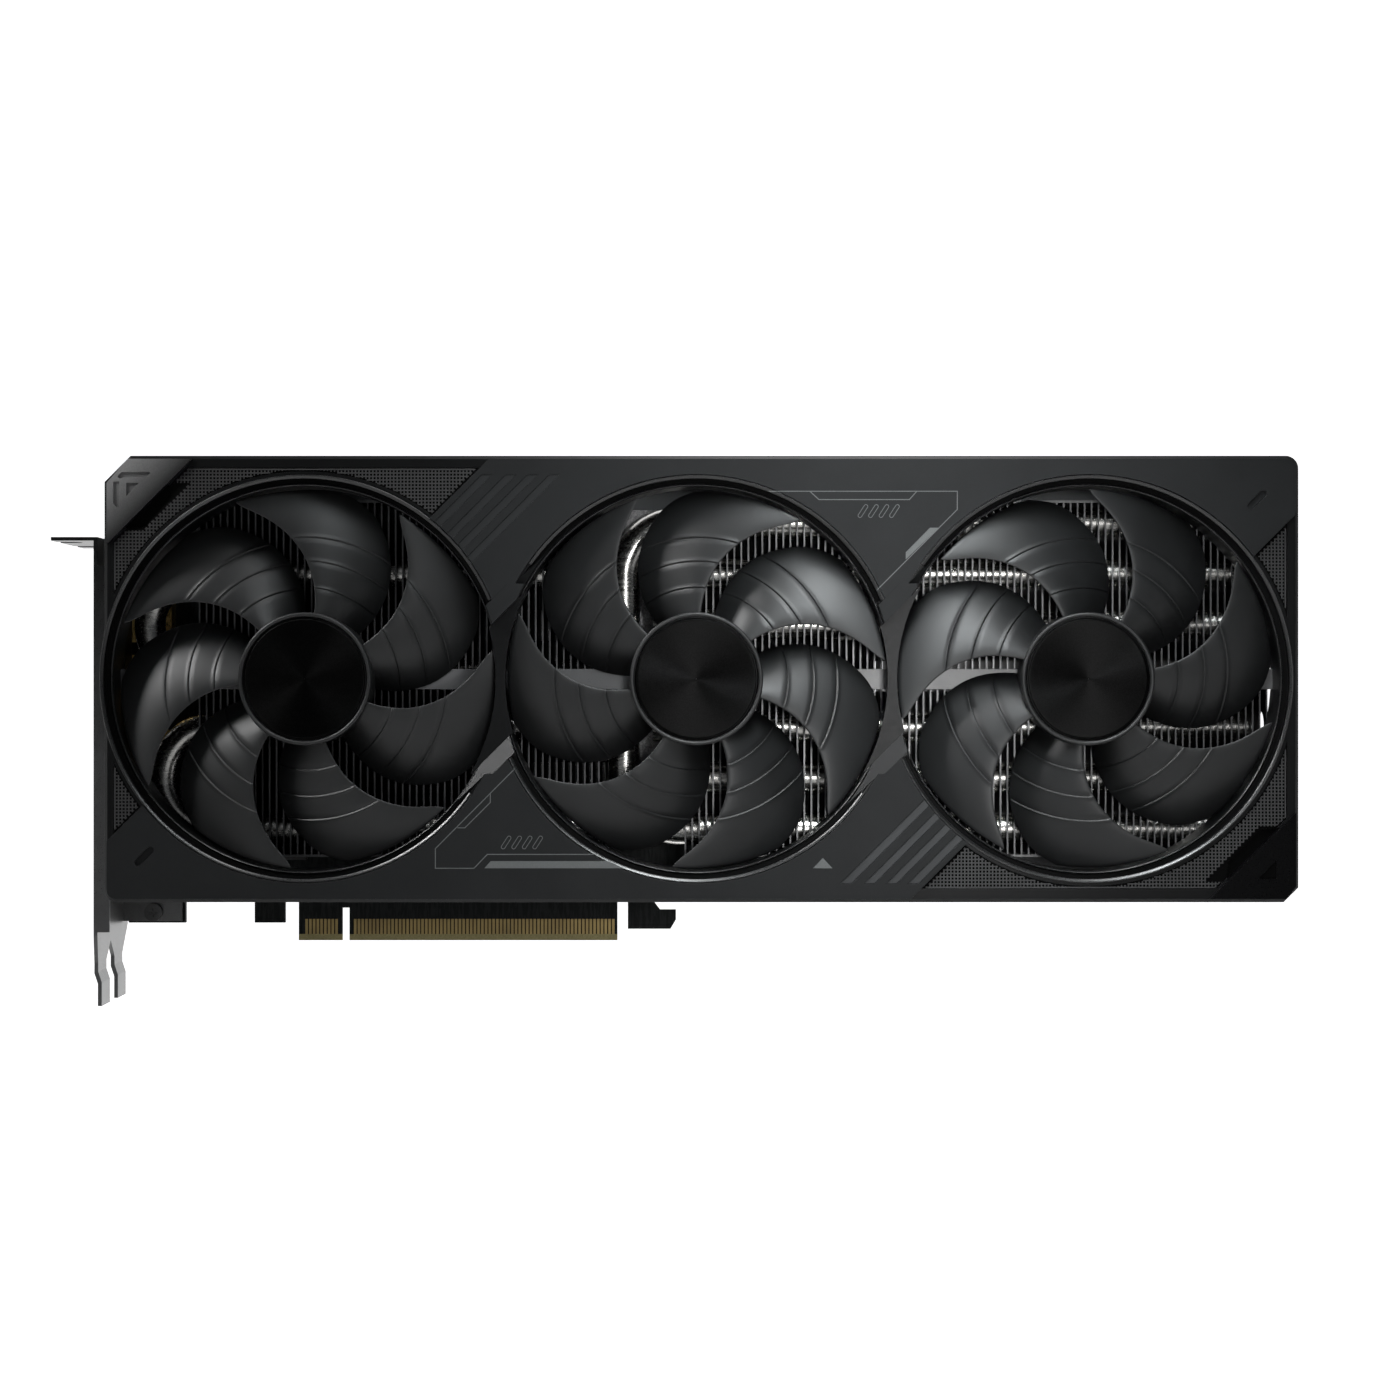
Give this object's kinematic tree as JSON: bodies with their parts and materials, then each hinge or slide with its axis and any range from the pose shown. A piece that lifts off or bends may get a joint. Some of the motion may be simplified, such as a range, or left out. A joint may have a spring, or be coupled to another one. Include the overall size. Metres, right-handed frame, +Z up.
{
  "type": "graphics card",
  "caption": "Long graphics card with swept-blade fans in an angular shroud, fin stacks with heat pipes, a slotted backplate, a slot edge and a two-slot bracket.",
  "frame": {"origin": "centre of the slot edge's bottom face, on the circuit board's mid-plane", "axes": "+X from the slot bracket to the free end, +Z up away from the slot, fans face -Y, backplate faces +Y"},
  "size_m": [0.3172, 0.05, 0.1401],
  "materials": {
    "shroud_plastic": "fine moulded grain, satin",
    "trim_plastic": "fine moulded grain, satin",
    "cap_grey": "satin grey",
    "cap_black": "semi-gloss black",
    "mesh_black": "matt black mesh",
    "blade_plastic": "satin-gloss black",
    "badge_metal": "black anodised, turned face",
    "frame_plastic": "matt black",
    "magnet": "matt ferrite",
    "steel": "bright steel",
    "bearing_bronze": "sintered bronze",
    "copper_wire": "enamelled copper",
    "fin_aluminium": "thin bare sheet",
    "pipe_nickel": "nickel plated",
    "block_aluminium": "rough milled",
    "plate_nickel": "nickel-plated copper, milled",
    "board_black": "black solder mask",
    "gold": "gold plated",
    "chip_black": "moulded package",
    "substrate_green": "laminate",
    "die_silicon": "polished silicon",
    "pad_grey": "soft pad",
    "inductor_grey": "pressed powder",
    "capacitor_can": "drawn can",
    "connector_black": "moulded nylon",
    "port_metal": "gold-coloured plating",
    "bracket_steel": "satin grey coating",
    "screw_black": "black oxide",
    "backplate_metal": "matt black coating"
  },
  "bodies": {
    "card": {"backplate": "backplate_metal", "backplate_screws": "screw_black", "bracket": "bracket_steel", "bracket_screw": "screw_black", "capacitors": "capacitor_can", "circuit_board": "board_black", "cold_plate": "plate_nickel", "corner_cap_lower_right": "cap_black", "corner_cap_upper_left": "cap_grey", "display_port_shells": "port_metal", "display_port_tongues": "connector_black", "edge_contacts": "gold", "fan_bearings": "bearing_bronze", "fan_circuit_boards": "board_black", "fan_frames": "frame_plastic", "fan_stators": "steel", "fan_windings": "copper_wire", "fin_stack_left": "fin_aluminium", "fin_stack_right": "fin_aluminium", "gpu_die": "die_silicon", "gpu_substrate": "substrate_green", "hdmi_shell": "port_metal", "hdmi_tongue": "connector_black", "heat_pipe_lower_loop": "pipe_nickel", "heat_pipe_lower_outer": "pipe_nickel", "heat_pipe_upper_loop": "pipe_nickel", "heat_pipe_upper_outer": "pipe_nickel", "inductors": "inductor_grey", "lower_trim_panel": "trim_plastic", "memory_chips": "chip_black", "mesh_grilles": "mesh_black", "pipe_block": "block_aluminium", "power_connector": "connector_black", "power_pins": "gold", "power_stages": "chip_black", "retention_cross": "steel", "retention_screws": "screw_black", "shroud": "shroud_plastic", "straight_heat_pipes": "pipe_nickel", "thermal_pads": "pad_grey", "upper_trim_panel": "trim_plastic"},
    "fan_left": {"rotor_left": "blade_plastic", "hub_badge_left": "badge_metal", "magnet_ring_left": "magnet", "fan_shaft_left": "steel"},
    "fan_middle": {"rotor_middle": "blade_plastic", "hub_badge_middle": "badge_metal", "magnet_ring_middle": "magnet", "fan_shaft_middle": "steel"},
    "fan_right": {"rotor_right": "blade_plastic", "hub_badge_right": "badge_metal", "magnet_ring_right": "magnet", "fan_shaft_right": "steel"}
  },
  "joints": [
    {"name": "fan_left_spin", "type": "hinge", "parent": "card", "child": "fan_left", "pos_m": [-0.0354, -0.036, 0.0696], "axis": [0, 1, 0], "continuous": true},
    {"name": "fan_middle_spin", "type": "hinge", "parent": "card", "child": "fan_middle", "pos_m": [0.0638, -0.036, 0.0696], "axis": [0, 1, 0], "continuous": true},
    {"name": "fan_right_spin", "type": "hinge", "parent": "card", "child": "fan_right", "pos_m": [0.163, -0.036, 0.0696], "axis": [0, 1, 0], "continuous": true}
  ]
}
